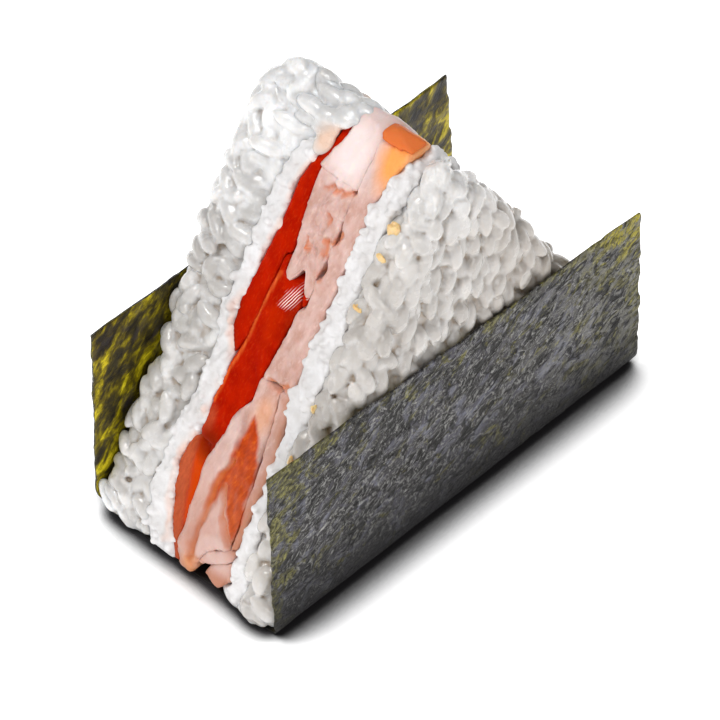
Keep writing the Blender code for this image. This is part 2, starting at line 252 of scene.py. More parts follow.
def rough_noise(points, size, seed):
    """Noise with two finer layers added, each half the size and strength of the last."""
    total = np.zeros(len(points))
    for layer in range(3):
        total += noise(points, np.asarray(size, float) / 2 ** layer, seed + layer) / 2 ** layer
    return total


def new_object(name, data):
    """An object in the scene for a mesh, a light or the camera."""
    made = bpy.data.objects.new(name, data)
    bpy.context.scene.collection.objects.link(made)
    return made


def new_mesh_object(name, points, faces):
    """An object in the scene from points in mm and faces."""
    mesh = bpy.data.meshes.new(name)
    mesh.from_pydata((np.asarray(points) * MM).tolist(), [], faces)
    mesh.update()
    return new_object(name, mesh)


def copy_node(name, node):
    """A new object with its own copy of a CAD node's mesh, its split corners joined again."""
    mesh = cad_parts[node].data.copy()
    mesh.materials.clear()
    bm = bmesh.new()
    bm.from_mesh(mesh)
    bmesh.ops.remove_doubles(bm, verts=bm.verts, dist=0.01 * MM)
    bm.to_mesh(mesh)
    bm.free()
    return new_object(name, mesh)


def apply_modifiers(piece):
    """Replace a piece's mesh by its evaluated one."""
    bpy.context.view_layer.update()
    evaluated = piece.evaluated_get(bpy.context.evaluated_depsgraph_get())
    mesh = bpy.data.meshes.new_from_object(evaluated)
    old = piece.data
    piece.modifiers.clear()
    piece.data = mesh
    bpy.data.meshes.remove(old)


def remesh(piece, voxel, smooth):
    """Fuse a piece into one even mesh, then soften it."""
    fuse = piece.modifiers.new("fuse", "REMESH")
    fuse.mode = "VOXEL"
    fuse.voxel_size = voxel * MM
    fuse.use_smooth_shade = True
    soften = piece.modifiers.new("soften", "SMOOTH")
    soften.factor = 0.5
    soften.iterations = smooth
    apply_modifiers(piece)


def read_all(items, name, width, kind):
    """One property of all of a mesh's items, in rows of a given width."""
    values = np.empty(len(items) * width, kind)
    items.foreach_get(name, values)
    return values.reshape(-1, width)


def get_points(piece):
    """A piece's vertices in mm."""
    return read_all(piece.data.vertices, "co", 3, np.float32).astype(float) / MM


def points_and_faces(piece):
    """A piece's vertices in mm and the corners of its faces."""
    return get_points(piece), [list(face.vertices) for face in piece.data.polygons]


def set_points(piece, points):
    """Move a piece's vertices to points in mm."""
    piece.data.vertices.foreach_set("co", (points * MM).astype(np.float32).ravel())
    piece.data.update()


def get_normals(piece):
    """A piece's vertex normals."""
    return read_all(piece.data.vertices, "normal", 3, np.float32).astype(float)


def smooth_values(piece, values, rounds):
    """Average values over each vertex's neighbours a number of times."""
    first, second = read_all(piece.data.edges, "vertices", 2, np.int64).T
    count = np.bincount(first, minlength=len(values)) + np.bincount(second, minlength=len(values))
    count = np.maximum(count, 1)[:, None]
    values = np.array(values, float).reshape(len(values), -1)
    for _ in range(rounds):
        total = np.zeros_like(values)
        for axis in range(values.shape[1]):
            total[:, axis] += np.bincount(first, values[second, axis], len(values))
            total[:, axis] += np.bincount(second, values[first, axis], len(values))
        values = 0.5 * values + 0.5 * total / count
    return values


def surface_samples(piece, count, rng):
    """Random points on a piece's surface, even by area, with their normals."""
    piece.data.calc_loop_triangles()
    corners = np.array([triangle.vertices for triangle in piece.data.loop_triangles])
    points = get_points(piece)
    a, b, c = (points[corners[:, index]] for index in range(3))
    cross = np.cross(b - a, c - a)
    area = np.linalg.norm(cross, axis=1)
    chosen = rng.choice(len(area), count, p=area / area.sum())
    u, v = rng.random((2, count))
    swap = u + v > 1.0
    u[swap], v[swap] = 1.0 - u[swap], 1.0 - v[swap]
    places = a[chosen] + u[:, None] * (b - a)[chosen] + v[:, None] * (c - a)[chosen]
    return places, cross[chosen] / area[chosen, None]


def template_of(bm):
    """A bmesh's points and faces, freeing the bmesh."""
    points = np.array([vertex.co for vertex in bm.verts])
    faces = [[vertex.index for vertex in face.verts] for face in bm.faces]
    bm.free()
    return points, faces


def ball_template(subdivisions):
    """A unit ball's points and faces."""
    bm = bmesh.new()
    bmesh.ops.create_icosphere(bm, subdivisions=subdivisions, radius=1.0)
    return template_of(bm)


def gather(parts):
    """The points and faces of many (points, faces) parts as one list of each."""
    all_faces = []
    total = 0
    for points, faces in parts:
        all_faces.extend([corner + total for corner in face] for face in faces)
        total += len(points)
    return np.vstack([points for points, _ in parts]), all_faces


def thin_out(piece, limit):
    """Bring a piece's triangles down to a limit where its surface is flattest."""
    triangles = sum(len(face.vertices) - 2 for face in piece.data.polygons)
    if triangles > limit:
        thin = piece.modifiers.new("thin", "DECIMATE")
        thin.ratio = limit / triangles
        apply_modifiers(piece)


def store_values(piece, name, values):
    """Keep one number for each vertex for the materials to read."""
    layer = piece.data.attributes.new(name, "FLOAT", "POINT")
    layer.data.foreach_set("value", np.asarray(values, np.float32).ravel())


def store_shares(piece, **shares):
    """Keep values held between 0 and 1, each under its own name."""
    for name, values in shares.items():
        store_values(piece, name, np.clip(values, 0.0, 1.0))


def store_hollows(piece, rounds, depth):
    """Mark how far each vertex lies in a hollow: 0 on the humps, 1 at the bottom of gaps."""
    points = get_points(piece)
    flat = smooth_values(piece, points, rounds)
    sunk = np.einsum("ij,ij->i", flat - points, get_normals(piece))
    store_values(piece, "hollow", np.clip(sunk / depth + 0.35, 0.0, 1.0))


def finish_piece(piece, material, nodes=()):
    """Shade a piece, give it its material and tie it to the frame."""
    piece.data.materials.append(material)
    piece.data.shade_smooth()
    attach(piece, "root")
    if nodes:
        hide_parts(*nodes)


# ---------------------------------------------------------------- node helpers

class Shader:
    """A short way to write a material's nodes."""

    def __init__(self, name):
        self.material = bpy.data.materials.new(name)
        self.material.use_nodes = True
        self.tree = self.material.node_tree
        self.surface = self.tree.nodes["Principled BSDF"]

    def feed(self, socket, value):
        """Give an input a fixed value, or join it to another node's output."""
        if isinstance(value, bpy.types.NodeSocket):
            self.tree.links.new(value, socket)
        else:
            socket.default_value = value

    def use(self, name, value):
        """Set one of the surface's own inputs, the same all over or from a node."""
        self.feed(self.surface.inputs[name], value)

    def node(self, kind, inputs, **settings):
        """The outputs of a new node with these settings and inputs."""
        made = self.tree.nodes.new(kind)
        for key, value in settings.items():
            setattr(made, key, value)
        for key, value in inputs.items():
            self.feed(made.inputs[key], value)
        return made.outputs

    def place(self, stretch=(1.0, 1.0, 1.0), turn=(0.0, 0.0, 0.0)):
        """Object coordinates in mm; a pattern on them is turned, and stretched along its own axes."""
        place = self.node("ShaderNodeTexCoord", {})["Object"]
        scale = [value * MM for value in stretch]
        inputs = {"Vector": place, "Scale": scale, "Rotation": turn}
        return self.node("ShaderNodeMapping", inputs, vector_type="TEXTURE")["Vector"]

    def noise(self, vector, size, detail=3.0, roughness=0.55, distortion=0.0):
        """A cloudy pattern from 0 to 1; size is the width of a lump."""
        inputs = {
            "Vector": vector, "Scale": 1.0 / size,
            "Detail": detail, "Roughness": roughness, "Distortion": distortion,
        }
        return self.node("ShaderNodeTexNoise", inputs)["Fac"]

    def stripes(self, vector, scale, distortion):
        """Wavy bands across Y, from 0 to 1."""
        inputs = {"Vector": vector, "Scale": scale, "Distortion": distortion}
        return self.node("ShaderNodeTexWave", inputs, wave_type="BANDS", bands_direction="Y")["Fac"]

    def lines(self, value, width):
        """Thin wavy lines where a noise crosses its middle value."""
        away = self.math("ABSOLUTE", self.math("SUBTRACT", value, 0.5), 0.0)
        return self.range(away, 0.0, width, 1.0, 0.0)

    def ramp(self, value, *stops):
        """Turn a value into a colour through (place, colour) stops."""
        made = self.tree.nodes.new("ShaderNodeValToRGB")
        elements = made.color_ramp.elements
        while len(elements) < len(stops):
            elements.new(1.0)
        for element, (place, colour) in zip(elements, stops):
            element.position = place
            element.color = (*colour, 1.0)
        self.feed(made.inputs["Fac"], value)
        return made.outputs["Color"]

    def range(self, value, low, high, to_low=0.0, to_high=1.0):
        """Ease a value from to_low to to_high as it goes from low to high."""
        inputs = {"Value": value, "From Min": low, "From Max": high, "To Min": to_low, "To Max": to_high}
        return self.node("ShaderNodeMapRange", inputs, interpolation_type="SMOOTHSTEP")["Result"]

    def mix(self, share, first, second):
        """Blend two colours; each may be a socket or a fixed colour."""
        first, second = (
            (*colour, 1.0) if isinstance(colour, tuple) else colour for colour in (first, second)
        )
        inputs = {"Factor": share, "A": first, "B": second}
        return self.node("ShaderNodeMix", inputs, data_type="RGBA")["Result"]

    def math(self, operation, first, second):
        """Work on two values; each may be a socket or a number."""
        return self.node("ShaderNodeMath", {0: first, 1: second}, operation=operation)["Value"]

    def times(self, first, second):
        return self.math("MULTIPLY", first, second)

    def plus(self, first, second):
        return self.math("ADD", first, second)

    def read(self, name):
        """The value that store_values kept at each vertex under this name."""
        return self.node("ShaderNodeAttribute", {}, attribute_name=name)["Fac"]

    def colour(self, colour, *layers):
        """Colour the surface, with each (share, colour) layer laid over what is under it."""
        for share, over in layers:
            colour = self.mix(share, colour, over)
        self.use("Base Color", colour)

    def bump(self, height, depth):
        """Relief too fine for the mesh; depth is in mm."""
        relief = self.node("ShaderNodeBump", {"Height": height, "Distance": depth * MM})
        self.use("Normal", relief["Normal"])

    def scatter(self, weight, radius, scale):
        """Light spreads under the surface: radius is each colour's share of scale, in mm."""
        self.use("Subsurface Weight", weight)
        self.use("Subsurface Radius", radius)
        self.use("Subsurface Scale", scale * MM)


# ---------------------------------------------------------------- materials

def rice_material():
    """Moist, half-clear rice: each grain a little different, with warm painted shade in the gaps between them
    and painted shade on its lower parts.
    """
    shader = Shader("rice")
    mottle = shader.noise(shader.place(), 2.4)
    own = shader.plus(shader.times(shader.read("tone"), 0.6), shader.times(mottle, 0.4))
    body = shader.ramp(
        own,
        (0.12, (0.42, 0.41, 0.40)), (0.5, (0.65, 0.645, 0.64)), (0.85, (0.96, 0.96, 0.965)),
    )
    shade = shader.read("shade")
    # Painted shade in the gaps between grains, deeper where the slab is shaded.
    painted_gap_shade = shader.times(
        shader.range(shader.read("hollow"), 0.45, 0.95), shader.range(shade, 0.0, 0.8, 0.45, 1.0)
    )
    shader.colour(
        body,
        (shader.times(shade, 0.5), (0.43, 0.38, 0.33)),
        (painted_gap_shade, (0.38, 0.27, 0.17)),
        (shader.read("peach"), (0.88, 0.50, 0.28)),
    )
    shader.use("Roughness", shader.range(mottle, 0.35, 0.65, 0.14, 0.3))
    shader.bump(shader.noise(shader.place(), 0.9, detail=4.0), 0.16)
    shader.use("Coat Weight", 0.4)
    shader.use("Coat Roughness", 0.07)
    shader.scatter(0.95, (1.0, 0.9, 0.78), 1.5)
    return shader.material


def cheese_material():
    """Soft white cream cheese, tinged orange where it touches the fish, with painted shade in its creases."""
    shader = Shader("cream_cheese")
    tone = shader.noise(shader.place(), 3.0)
    white = shader.ramp(tone, (0.3, (0.66, 0.64, 0.63)), (0.7, (0.80, 0.79, 0.795)))
    shader.colour(
        white,
        # Painted shade in the creases between the lumps.
        (shader.range(shader.read("hollow"), 0.5, 1.0), (0.60, 0.56, 0.50)),
        (shader.times(shader.read("tinge"), 0.5), (0.85, 0.42, 0.25)),
    )
    shader.use("Roughness", 0.45)
    shader.bump(shader.noise(shader.place(), 0.6, detail=4.0, roughness=0.65), 0.16)
    shader.scatter(0.3, (1.0, 0.95, 0.9), 0.6)
    return shader.material


def salmon_material():
    """Wet, glassy red fish: fine fibres, a paler cut side, darker ends that are partly painted shade, and one
    striped painted glint.
    """
    shader = Shader("salmon")
    tone = shader.noise(shader.place((1.0, 1.5, 6.0)), 1.8)
    fibres = shader.noise(shader.place((1.0, 0.7, 7.0), (0.2, 0.0, 0.0)), 0.55, roughness=0.6)
    red = shader.ramp(tone, (0.3, (0.34, 0.005, 0.0)), (0.75, (0.50, 0.013, 0.0)))
    side = shader.ramp(fibres, (0.3, (0.40, 0.075, 0.028)), (0.7, (0.55, 0.11, 0.040)))
    stripes = shader.stripes(shader.place((1.0, 1.0, 5.0), (0.5, 0.0, 0.0)), 0.72, 2.5)
    glint = shader.times(shader.read("glint"), shader.range(stripes, 0.5, 0.9))
    shader.colour(
        red,
        (shader.read("orange"), (0.58, 0.050, 0.0)),
        (shader.times(shader.range(fibres, 0.5, 0.75), 0.22), (0.72, 0.075, 0.012)),
        (shader.read("pink"), side),
        # Darker ends: painted shade where the middle slice's lower end is recessed, and the darker red of the
        # curled edge and of a smaller spot.
        (shader.times(shader.read("dark"), 0.85), (0.20, 0.012, 0.001)),
        (glint, (0.95, 0.72, 0.68)),
        (shader.read("lit"), (0.72, 0.13, 0.025)),
        (shader.read("peach"), (0.70, 0.17, 0.045)),
        (shader.read("shade"), (0.26, 0.035, 0.012)),
    )
    shader.use("Roughness", shader.range(shader.read("pink"), 0.0, 1.0, 0.22, 0.4))
    shader.use("Specular IOR Level", 0.02)
    shader.bump(fibres, 0.08)
    shader.scatter(0.15, (1.0, 0.10, 0.01), 0.8)
    return shader.material


def prawn_material():
    """Cooked prawn: pinkish white flesh, amber and orange where its skin was, brown at one edge."""
    shader = Shader("prawn")
    tone = shader.noise(shader.place((1.0, 1.0, 2.0)), 2.2, detail=4.0)
    fibres = shader.noise(shader.place((1.0, 0.8, 4.0), (0.25, 0.0, 0.0)), 0.9, detail=4.0, roughness=0.6)
    streaks = shader.noise(shader.place((1.0, 0.8, 7.0), (0.35, 0.0, 0.0)), 1.0, detail=2.0)
    flesh = shader.ramp(
        tone,
        (0.3, (0.52, 0.29, 0.23)), (0.55, (0.63, 0.41, 0.36)), (0.8, (0.73, 0.54, 0.49)),
    )
    skin = shader.ramp(
        streaks,
        (0.3, (0.38, 0.030, 0.0)), (0.55, (0.54, 0.055, 0.0)), (0.8, (0.72, 0.13, 0.005)),
    )
    shader.colour(
        flesh,
        (shader.read("white"), (0.84, 0.71, 0.69)),
        (shader.times(shader.range(fibres, 0.5, 0.8), 0.4), (0.90, 0.70, 0.62)),
        (shader.read("amber"), (0.93, 0.37, 0.10)),
        (shader.times(shader.read("brown"), 0.8), (0.50, 0.22, 0.13)),
        (shader.read("orange"), skin),
        (shader.times(shader.read("crease"), 0.8), (0.66, 0.17, 0.04)),
        (shader.read("shade"), (0.38, 0.11, 0.035)),
    )
    shader.use("Roughness", 0.3)
    shader.use("Specular IOR Level", 0.18)
    shader.bump(fibres, 0.14)
    shader.scatter(0.3, (1.0, 0.4, 0.2), 0.7)
    return shader.material


def nori_outer_material():
    """The nori's outside: slate grey with pale wavy fibres, olive patches, yellow corners and painted shade
    low down.
    """
    shader = Shader("nori_outside")
    lie = (0.0, -0.5, 0.0)
    wide = shader.place((1.8, 1.0, 1.0), lie)
    broad = shader.noise(
        shader.place((1.4, 1.0, 1.0), lie), 5.0, detail=5.0, roughness=0.6, distortion=1.4
    )
    swirl = shader.noise(wide, 2.2, detail=2.5, roughness=0.5, distortion=1.6)
    weave = shader.noise(shader.place((1.8, 1.0, 1.0), (0.0, -1.1, 0.0)), 1.7, detail=2.0, distortion=1.6)
    fine = shader.noise(wide, 0.7, distortion=0.8)
    slate = shader.ramp(
        broad,
        (0.36, (0.010, 0.009, 0.009)), (0.44, (0.025, 0.022, 0.021)), (0.51, (0.052, 0.048, 0.051)),
        (0.57, (0.092, 0.088, 0.108)), (0.64, (0.190, 0.192, 0.232)),
    )
    olive = shader.ramp(
        fine,
        (0.35, (0.030, 0.026, 0.008)), (0.5, (0.135, 0.120, 0.030)), (0.66, (0.40, 0.37, 0.10)),
    )
    strands = shader.math("MAXIMUM", shader.lines(swirl, 0.045), shader.lines(weave, 0.04))
    broken = shader.times(strands, shader.range(fine, 0.4, 0.56, 0.0, 0.9))
    pale = shader.read("pale")
    patches = shader.noise(
        shader.place((1.6, 1.0, 1.0), lie), 4.2, detail=6.0, roughness=0.72, distortion=1.0
    )
    spread = shader.plus(patches, shader.times(shader.math("MAXIMUM", shader.read("edge"), pale), 0.15))
    speckle = shader.times(shader.range(spread, 0.62, 0.74), shader.range(fine, 0.4, 0.6, 0.15, 1.0))
    shader.colour(
        slate,
        (broken, (0.46, 0.45, 0.43)),
        (shader.range(fine, 0.6, 0.74, 0.0, 0.5), (0.20, 0.20, 0.21)),
        (shader.range(swirl, 0.45, 0.37, 0.0, 0.9), (0.010, 0.009, 0.007)),
        (shader.range(spread, 0.56, 0.66, 0.0, 0.85), olive),
        (shader.times(pale, shader.range(swirl, 0.5, 0.62)), (0.38, 0.37, 0.32)),
        (shader.times(speckle, shader.read("corner")), (0.50, 0.42, 0.03)),
        # Painted shade on the lower part of the flaps, darkest near the foot.
        (shader.read("low"), (0.011, 0.010, 0.011)),
    )
    shader.use("Roughness", shader.range(fine, 0.3, 0.7, 0.65, 0.45))
    shader.use("Specular IOR Level", 0.28)
    relief = shader.plus(shader.plus(swirl, shader.times(fine, 0.35)), shader.times(broad, 2.0))
    shader.bump(shader.plus(relief, shader.times(broken, 0.3)), 1.3)
    return shader.material


def nori_inner_material():
    """The nori's inside: dark olive with glowing yellow patches, purple-grey spots and painted shade near the
    foot.
    """
    shader = Shader("nori_inside")
    lie = (0.0, -0.85, 0.0)
    broad = shader.noise(
        shader.place((1.9, 1.0, 1.0), lie), 3.4, detail=5.0, roughness=0.62, distortion=0.4
    )
    fine = shader.noise(shader.place((2.4, 1.0, 1.0), lie), 0.9, detail=4.0, roughness=0.65)
    mottled = shader.plus(shader.times(broad, 0.75), shader.times(fine, 0.25))
    olive = shader.ramp(
        mottled,
        (0.38, (0.014, 0.011, 0.007)), (0.46, (0.048, 0.038, 0.009)), (0.51, (0.13, 0.100, 0.006)),
        (0.56, (0.31, 0.25, 0.004)), (0.61, (0.76, 0.63, 0.02)),
    )
    spots = shader.noise(shader.place((1.5, 1.0, 1.0), lie), 4.0)
    shader.colour(
        olive,
        (shader.range(spots, 0.56, 0.66, 0.0, 0.6), (0.050, 0.042, 0.044)),
        # Painted shade near the foot, under the rice.
        (shader.read("hidden"), (0.010, 0.009, 0.009)),
    )
    shader.use("Roughness", 0.36)
    shader.use("Specular IOR Level", 0.2)
    shader.bump(mottled, 0.5)
    return shader.material


def bits_material():
    """Small orange-yellow bits of prawn pressed into the cheese."""
    shader = Shader("bits")
    tone = shader.noise(shader.place(), 1.5)
    shader.colour(shader.ramp(tone, (0.3, (0.72, 0.45, 0.17)), (0.7, (0.84, 0.63, 0.32))))
    shader.use("Roughness", 0.35)
    shader.scatter(0.4, (1.0, 0.6, 0.3), 1.0)
    return shader.material


# ---------------------------------------------------------------- places on the slopes and the cross-section

def exposed(points):
    """1 within a few mm of the sloped faces, where the layers can be seen, and 0 deeper in."""
    slope = math.radians(SLOPE_ANGLE)
    x, _, z = points.T
    depth = SLOPE_DISTANCE - np.abs(x) * math.sin(slope) - (z - SLOPE_CENTRE_Z) * math.cos(slope)
    return fade(depth, EXPOSED_DEPTH, EXPOSED_DEPTH - 2.0)


def face_place(y, z, lift):
    """The point over (Y, Z) on the left sloped face, lifted off it."""
    slope = math.radians(SLOPE_ANGLE)
    reach = SLOPE_DISTANCE + lift - (z - SLOPE_CENTRE_Z) * math.cos(slope)
    return np.array((-reach / math.sin(slope), y, z))


def section_spots(points, waver):
    """Where points lie on the cross-section, as (Y, Z), with a slight waver for ragged borders."""
    shift = np.stack((noise(points, 2.2, WAVER_SEED), noise(points, 2.2, WAVER_SEED + 1)), axis=1)
    return points[:, 1:] + waver * shift


def line_distance(spots, line):
    """Each spot's distance to the nearest part of a line."""
    best = np.full(len(spots), 1e9)
    for start, end in zip(np.array(line[:-1]), np.array(line[1:])):
        way = end - start
        share = np.clip((spots - start) @ way / (way @ way), 0.0, 1.0)
        best = np.minimum(best, np.linalg.norm(spots - start - share[:, None] * way, axis=1))
    return best


def near_line(spots, line, width):
    """1 on a line, fading to 0 at a width from it."""
    return fade(line_distance(spots, line), width, 0.0)


def within(spots, outline, soft):
    """1 inside an outline and 0 outside it, changing over a soft border."""
    y, z = spots.T
    inside = np.zeros(len(spots), bool)
    for (y1, z1), (y2, z2) in zip(outline, outline[1:] + outline[:1]):
        crosses = (z1 > z) != (z2 > z)
        meeting = y1 + (z - z1) * (y2 - y1) / (z2 - z1 if z2 != z1 else 1e-9)
        inside ^= crosses & (y < meeting)
    distance = line_distance(spots, outline + outline[:1])
    return np.clip(np.where(inside, distance, -distance) / soft + 0.5, 0.0, 1.0)


def spot(spots, centre, reach):
    """A soft-edged oval patch: 1 at its middle, 0 outside."""
    away = np.hypot((spots[:, 0] - centre[0]) / reach[0], (spots[:, 1] - centre[1]) / reach[1])
    return np.clip(1.5 * (1.0 - away), 0.0, 1.0)


def keep_inside_nori(piece):
    """Press a piece's points back where the nori or its foot holds it."""
    low, high = (Vector(corner) / MM for corner in nori_box)
    points = get_points(piece)
    wall = min(-low.y, high.y) - NORI_ROOM
    held = points[:, 2] < high.z
    points[held, 1] = np.clip(points[held, 1], -wall, wall)
    points[:, 2] = np.maximum(points[:, 2], FOOT_LIFT)
    set_points(piece, points)


# ---------------------------------------------------------------- rice

def grain_template(around=12, along=10):
    """A unit sphere's points and faces, its poles on X: the start of every grain."""
    bm = bmesh.new()
    bmesh.ops.create_uvsphere(bm, u_segments=around, v_segments=along, radius=1.0)
    points, faces = template_of(bm)
    return points[:, (2, 0, 1)], faces


def shape_grain(template, rng):
    """One grain about its middle: an oval with one blunter end and a slight bend."""
    length = GRAIN_LENGTH * rng.uniform(0.86, 1.08)
    width = GRAIN_WIDTH * rng.uniform(0.9, 1.12)
    thickness = GRAIN_THICKNESS * rng.uniform(0.9, 1.1)
    along = template[:, 0]
    swell = 1.0 + rng.uniform(-0.14, 0.14) * along
    x = 0.5 * length * along
    y = 0.5 * width * template[:, 1] * swell + rng.uniform(-0.6, 0.6) * (along ** 2 - 0.4)
    z = 0.5 * thickness * template[:, 2] * swell + rng.uniform(-0.4, 0.4) * (along ** 2 - 0.4)
    return np.stack((x, y, z), axis=1)


def lay_grain(points, place, normal, heading, tilt):
    """Turn and move a grain: its length lies along heading, tipped out of the surface by tilt."""
    along = heading - normal * np.dot(heading, normal)
    along /= np.linalg.norm(along)
    across = np.cross(normal, along)
    tipped = along * math.cos(tilt) + normal * math.sin(tilt)
    lifted = normal * math.cos(tilt) - along * math.sin(tilt)
    return points @ np.stack((tipped, across, lifted)) + place


def shows(place, normal, side):
    """Whether a spot on a rice slab can be seen: not against the cheese, the foot or the nori."""
    against_cheese = normal[1] * side < -0.8
    against_foot = normal[2] < -0.7 and abs(place[0]) < FOOT_COVERED
    against_nori = normal[1] * side > 0.8 and place[2] < FLAP_COVERED
    return not (against_cheese or against_foot or against_nori)


def grain_heading(normal, steep, rng):
    """The way a grain points along the surface: any way, or mostly down it."""
    if steep:
        heading = np.array((0.0, 0.0, -1.0)) + rng.normal(0.0, 0.3, 3)
    else:
        heading = rng.normal(size=3)
    heading = heading - normal * np.dot(heading, normal)
    return heading / np.linalg.norm(heading)


def pack_grains(solid, slab, spacing, rng):
    """Choose places for one layer of grains so that they lie beside each other."""
    places, normals = surface_samples(solid, GRAIN_TRIES, rng)
    chosen = []
    kept_places = np.empty((0, 3))
    kept_headings = np.empty((0, 3))
    for place, normal in zip(places, normals):
        if not shows(place, normal, slab.side):
            continue
        heading = grain_heading(normal, slab.steep, rng)
        offset = kept_places - place
        along = np.einsum("ij,ij->i", offset, kept_headings)
        along_new = offset @ heading
        square = np.sum(offset ** 2, axis=1)
        reach = np.minimum(
            (along / GRAIN_STRETCH) ** 2 + np.maximum(square - along ** 2, 0.0),
            (along_new / GRAIN_STRETCH) ** 2 + np.maximum(square - along_new ** 2, 0.0),
        )
        if len(reach) and np.min(reach) < spacing ** 2:
            continue
        chosen.append((place, normal, heading))
        kept_places = np.vstack((kept_places, place))
        kept_headings = np.vstack((kept_headings, heading))
    return chosen


def lay_grains(solid, slab, rng):
    """A slab's layers of grains as (points, faces), and each grain's middle and heading."""
    template, faces = grain_template()
    parts, grains = [], []
    for sunk, spacing in RICE_LAYERS:
        for place, normal, heading in pack_grains(solid, slab, spacing, rng):
            grain = shape_grain(template, rng)
            tilt = rng.normal(STEEP_TILT if slab.steep else 0.0, 0.16)
            middle = place - (sunk + rng.normal(0.0, 0.25)) * normal
            parts.append((lay_grain(grain, middle, normal, heading, tilt), faces))
            grains.append((middle, heading))
    return parts, grains


def shrink(piece, depth, side):
    """Draw a slab's surface in evenly by a depth, except where it lies against the cheese."""
    remesh(piece, 0.9, smooth=4)
    for _ in range(4):
        drawn = get_points(piece) - 0.25 * depth * get_normals(piece)
        set_points(piece, smooth_values(piece, drawn, 1))
    points = get_points(piece)
    against_cheese = np.clip(-1.5 * side * get_normals(piece)[:, 1], 0.0, 1.0)
    points[:, 1] -= side * (depth + 0.8) * against_cheese
    set_points(piece, points)


def press_flat(piece, solid, slab):
    """Press grains that stand out of a slab back to it, run them together and shape its top."""
    corners, faces = points_and_faces(solid)
    tree = BVHTree.FromPolygons(corners.tolist(), faces)
    points = get_points(piece)
    for index, point in enumerate(points):
        place, normal, _, _ = tree.find_nearest(point)
        away = Vector(point) - place
        height = away.length
        lower = PRESS_RATE * max(point[2] - PRESS_FROM, 0.0)
        room = max(0.5 * slab.stand_out, slab.stand_out - lower)
        if normal.y * slab.side < -0.5:
            room = ROOM_AT_CHEESE
        if away.dot(normal) > 0.0 and height > 0.01:
            points[index] = place + away * (room * math.tanh(height / room) / height)
    melted = smooth_values(piece, points, slab.melt_rounds)
    share = np.clip((points[:, 2:] - slab.melt_from) / 14.0, slab.melt_least, 0.75)
    pressed = points * (1.0 - share) + melted * share
    if slab.side < 0.0:
        sag_front_tip(pressed)
    else:
        bulge_back(pressed)
    set_points(piece, pressed)


def sag_front_tip(points):
    """Let the outer edge of the front slab's tip sag."""
    points[:, 2] -= TIP_SAG * fade(points[:, 1], -9.0, -15.0) * fade(points[:, 2], 70.0, 79.0)


def bulge_back(points):
    """Swell the back slab's upper half to the left and to the back."""
    x, y, z = points.T
    bulge = fade(z, 44.0, 58.0) * fade(z, 84.0, 78.0) * fade(y, 7.0, 14.0)
    points[:, 0] -= 1.2 * bulge * fade(x, 2.4, -3.6)
    points[:, 1] += 1.3 * bulge


def store_grain_tones(piece, grains, rng):
    """Give every grain its own tone, from clear to white, read at the nearest grain."""
    tree = KDTree(3 * len(grains))
    for index, (middle, heading) in enumerate(grains):
        for step in (-GRAIN_SPINE, 0.0, GRAIN_SPINE):
            tree.insert(middle + step * heading, index)
    tree.balance()
    tones = rng.random(len(grains))
    points = get_points(piece)
    nearest = [tree.find(point)[1] for point in points]
    # Near the top the tones are evened out and lighter: partly the smoother run-together rice there, partly
    # painted light from above.
    near_top = fade(points[:, 2], 56.0, 70.0)
    own = smooth_values(piece, tones[nearest], 2)[:, 0]
    store_values(piece, "tone", (0.75 - 0.4 * near_top) * own + 0.5 * near_top)


def make_rice(node, slab, material, rng):
    """A slab of rice: two layers of whole grains on a smaller core, run together."""
    solid = copy_node("rice_slab_" + node, node)
    core = copy_node("rice_core_" + node, node)
    shrink(core, RICE_CORE_INSET, slab.side)
    parts, grains = lay_grains(solid, slab, rng)
    piece = new_mesh_object(node + "_grains", *gather([points_and_faces(core)] + parts))
    bpy.data.objects.remove(core)
    remesh(piece, RICE_VOXEL, smooth=1)
    press_flat(piece, solid, slab)
    bpy.data.objects.remove(solid)
    keep_inside_nori(piece)
    store_hollows(piece, 30, 0.7)
    store_grain_tones(piece, grains, rng)
    points = get_points(piece)
    x, _, z = points.T
    store_values(piece, "peach", 0.8 * spot(section_spots(points, 0.8), (2.2, 78.5), (3.4, 3.4)))
    shade = fade(z, slab.shade_top, slab.shade_top - 24.0) * fade(z, -12.0, 12.0)
    shade = shade * (1.0 + slab.shade_right * fade(x, 0.0, 25.0))
    store_values(piece, "shade", slab.shade_most * shade)
    thin_out(piece, RICE_TRIANGLES)
    finish_piece(piece, material, [node])


def make_extra_grains(name, grains, material, rng):
    """Whole grains laid one by one, each as (place, heading), flat on the slope and run together."""
    slope = math.radians(SLOPE_ANGLE)
    normal = np.array((-math.sin(slope), 0.0, math.cos(slope)))
    template, faces = grain_template(20, 14)
    parts = []
    for place, heading in grains:
        grain = shape_grain(template, rng)
        parts.append((lay_grain(grain, np.array(place), normal, np.array(heading), 0.0), faces))
    piece = new_mesh_object(name, *gather(parts))
    remesh(piece, EXTRA_GRAIN_VOXEL, smooth=2)
    points = get_points(piece)
    points = (1.0 - EXTRA_GRAIN_MELT) * points + EXTRA_GRAIN_MELT * smooth_values(piece, points, 6)
    points[:, 2] = np.maximum(points[:, 2], FOOT_LIFT)
    set_points(piece, points)
    store_hollows(piece, 20, 0.9)
    store_values(piece, "tone", 0.45 + 0.3 * noise(points, 4.0, seed=77))
    store_values(piece, "peach", 0.5 * spot(section_spots(points, 0.8), (1.2, 77.4), (4.6, 3.8)))
    store_values(piece, "shade", np.zeros(len(points)))
    finish_piece(piece, material)


# ---------------------------------------------------------------- cheese, fish and prawn

